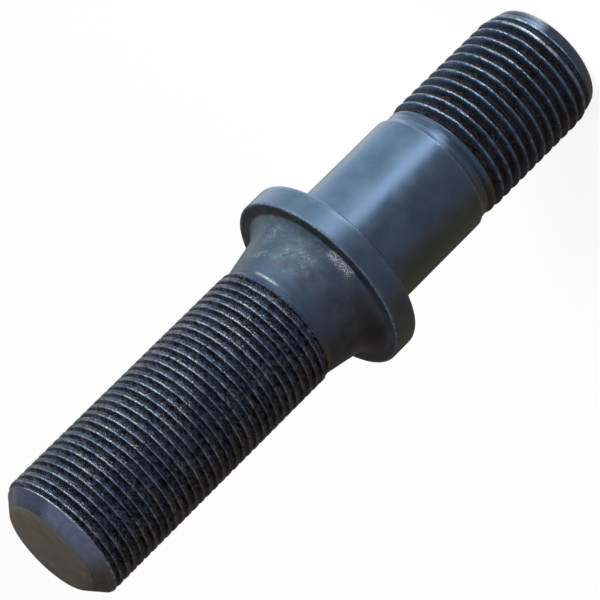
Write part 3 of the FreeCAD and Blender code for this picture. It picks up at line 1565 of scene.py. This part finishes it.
HIGH_CLOTH: Cloth = (
    (-180.0, (0.12, 0.115, 0.11)),
    (-130.0, (0.14, 0.09, 0.07)),
    (-90.0, (0.20, 0.14, 0.10)),
    (-70.0, (0.25, 0.20, 0.15)),
    (-50.0, (0.30, 0.28, 0.26)),
    (-30.0, (0.36, 0.32, 0.33)),
    (-10.0, (0.44, 0.40, 0.42)),
    (12.0, (0.50, 0.50, 0.51)),
    (32.0, (0.75, 0.77, 0.79)),
    (50.0, (1.25, 1.30, 1.22)),
    (70.0, (1.60, 1.65, 1.48)),
    (92.0, (1.02, 1.10, 1.08)),
    (112.0, (0.92, 0.97, 0.97)),
    (135.0, (0.85, 0.88, 0.84)),
    (155.0, (0.35, 0.35, 0.33)),
    (180.0, (0.12, 0.115, 0.11)),
)


@dataclass(frozen=True)
class SoftLamp:
    """A square lamp aimed at the stud, in metres and watts.

    The turn is in degrees to the right of the camera's side, seen from above, and the rise in degrees
    above the floor.
    """

    name: str
    turn: float
    rise: float
    away: float
    size: float
    power: float

    def build(self) -> None:
        """Adds the lamp, which lights but isn't seen."""
        data = bpy.data.lights.new(self.name, "AREA")
        data.size = self.size
        data.energy = self.power
        lamp = in_scene(self.name, data)
        turn, rise = math.radians(self.turn), math.radians(self.rise)
        flat = math.cos(rise)
        way = Vector((flat * math.sin(turn), -flat * math.cos(turn), math.sin(rise)))
        lamp.location = way * self.away
        lamp.rotation_euler = way.to_track_quat("Z", "Y").to_euler()
        lamp.visible_glossy = False
        lamp.visible_camera = False


@dataclass(frozen=True)
class Studio:
    """Pale floor, a light tent that only reflections see, two soft lamps and the world, in metres."""

    floor_half: float = 2.0
    floor_white: float = 0.9
    own_white: float = 0.87
    tent_radius: float = 0.9
    tent_gap: float = 0.0004
    tent_weld: float = 1e-6
    tent_segments: tuple[int, int] = (96, 64)
    cloth_reach: Fade = (0.155, 0.20)
    zenith: Fade = (0.45, 0.81)
    zenith_level: float = 0.4
    world_level: float = 0.35
    lamps: tuple[SoftLamp, ...] = (
        SoftLamp("key", 36.0, 48.0, 0.9, 0.55, 9.0),
        SoftLamp("fill", -70.0, 35.0, 1.1, 0.7, 3.0),
    )

    def build(self) -> None:
        """Builds the whole studio."""
        self.floor()
        self.tent()
        self.world()
        for lamp in self.lamps:
            lamp.build()

    def seen_white(self, sheet: Sheet) -> Value:
        """1 for a ray that should see the white background: camera, glossy or transmission.

        Args:
            sheet: the tree the node goes into.

        Returns:
            The share.
        """
        path = {socket.name: Value(sheet, socket) for socket in sheet.node("ShaderNodeLightPath").outputs}
        either = sheet.math("MAXIMUM", path["Is Camera Ray"], path["Is Glossy Ray"])
        return sheet.math("MAXIMUM", either, path["Is Transmission Ray"])

    def floor(self) -> None:
        """A white floor that is mostly its own white to the camera and still takes the shadow."""
        half = self.floor_half
        mesh = bpy.data.meshes.new("floor")
        corners = [(-half, -half, 0), (half, -half, 0), (half, half, 0), (-half, half, 0)]
        mesh.from_pydata(corners, [], [(0, 1, 2, 3)])
        material, sheet = blank_material("white_floor")
        white = self.floor_white
        lit = sheet.value("ShaderNodeBsdfDiffuse", (white, white, white, 1.0))
        own = sheet.value("ShaderNodeEmission", WHITE, 1.0)
        blend = sheet.value("ShaderNodeMixShader", self.seen_white(sheet) * self.own_white, lit, own)
        sheet.node("ShaderNodeOutputMaterial", blend)
        mesh.materials.append(material)
        in_scene("floor", mesh)

    def tent(self) -> None:
        """A dome with a floor of its own: white cloth on one side and dark cloth on the other."""
        around, upwards = self.tent_segments
        work = bmesh.new()
        bmesh.ops.create_uvsphere(work, u_segments=around, v_segments=upwards, radius=self.tent_radius)
        for point in work.verts:
            point.co.z = max(point.co.z, self.tent_gap)
        bmesh.ops.remove_doubles(work, verts=work.verts, dist=self.tent_weld)
        mesh = bpy.data.meshes.new("tent")
        work.to_mesh(mesh)
        work.free()
        material, sheet = blank_material("tent_cloth")
        place = sheet.value("ShaderNodeTexCoord", output="Object")
        east, north, height = sheet.parts(place)
        share = (sheet.math("ARCTAN2", east, north * -1.0) + math.pi) / math.tau
        low = self.cloth(sheet, share, LOW_CLOTH)
        high = self.cloth(sheet, share, HIGH_CLOTH)
        wall = sheet.mix(sheet.span(sheet.length(place), self.cloth_reach), low, high)
        top = (self.zenith_level, self.zenith_level, self.zenith_level)
        glow = sheet.value("ShaderNodeEmission", sheet.mix(sheet.span(height, self.zenith), wall, top), 1.0)
        sheet.node("ShaderNodeOutputMaterial", glow)
        mesh.materials.append(material)
        tent = in_scene("tent", mesh)
        tent.visible_camera = False
        tent.visible_diffuse = False
        tent.visible_shadow = False
        tent.visible_transmission = False

    def cloth(self, sheet: Sheet, share: Value, stops: Cloth) -> Value:
        """Sets the cloth's light by its turn from the camera's side, to the right seen from above.

        Args:
            sheet: the cloth's tree.
            share: the turn, from 0 at half a turn to the left to 1 at half a turn to the right.
            stops: the turn in degrees and the light at each stop.

        Returns:
            The light.
        """
        made = sheet.node("ShaderNodeValToRGB", share)
        ramp = made.color_ramp
        while len(ramp.elements) > 1:
            ramp.elements.remove(ramp.elements[0])
        for index, (turn, light) in enumerate(stops):
            spot = (turn + 180.0) / 360.0
            element = ramp.elements[0] if index == 0 else ramp.elements.new(spot)
            element.position = spot
            element.color = (*light, 1.0)
        return Value(sheet, made.outputs[0])

    def world(self) -> None:
        """White where the background is seen, and a plain soft level where it lights."""
        world = bpy.data.worlds.new("studio")
        world.use_nodes = True
        world.node_tree.nodes.clear()
        sheet = Sheet(world.node_tree)
        level = self.seen_white(sheet) * (1.0 - self.world_level) + self.world_level
        sheet.node("ShaderNodeOutputWorld", sheet.value("ShaderNodeBackground", WHITE, level))
        bpy.context.scene.world = world


@dataclass(frozen=True)
class PhotoCamera:
    """Camera that looks down on the standing stud and is rolled as the photograph is.

    Angles are in degrees and lengths in millimetres.
    """

    elevation: float = 21.83
    hub_end_turn: float = 44.76
    distance: float = 588.41
    aim_height: float = 59.0
    lens: float = 232.4
    sensor: float = 36.0
    clip: tuple[float, float] = (0.01, 10.0)
    aside: float = 0.027
    above: float = 0.293

    def build(self) -> None:
        """Makes the camera and hands it to the scene."""
        data = bpy.data.cameras.new("photo_camera")
        data.lens = self.lens
        data.sensor_width = self.sensor
        data.clip_start, data.clip_end = self.clip
        camera = in_scene("photo_camera", data)
        rise = math.radians(self.elevation)
        turn = math.radians(self.hub_end_turn)
        forward = Vector((0.0, math.cos(rise), -math.sin(rise)))
        hub_way = Vector((0.0, -math.sin(rise), -math.cos(rise)))
        across = forward.cross(hub_way)
        right = math.cos(turn) * hub_way + math.sin(turn) * across
        up = math.sin(turn) * hub_way - math.cos(turn) * across
        aim = Vector((0.0, 0.0, self.aim_height))
        spot = (aim - self.distance * forward + self.aside * right + self.above * up) * MM
        turned = Matrix((right, up, -forward)).transposed()
        camera.matrix_world = Matrix.Translation(spot) @ turned.to_4x4()
        bpy.context.scene.camera = camera


def plain_view() -> None:
    """Sets the Standard view transform and leaves the rest at its defaults."""
    bpy.context.scene.view_settings.view_transform = "Standard"


def main() -> None:
    """Builds the stud, its studio and its camera, and reports each."""
    logging.basicConfig(level=logging.INFO, format="%(name)s: %(message)s")
    stud = WheelStud().build()
    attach(stud, "root")
    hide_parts(STUD_NODE)
    Studio().build()
    LOG.info("studio built")
    PhotoCamera().build()
    LOG.info("camera built")
    plain_view()


if __name__ == "__main__":
    main()
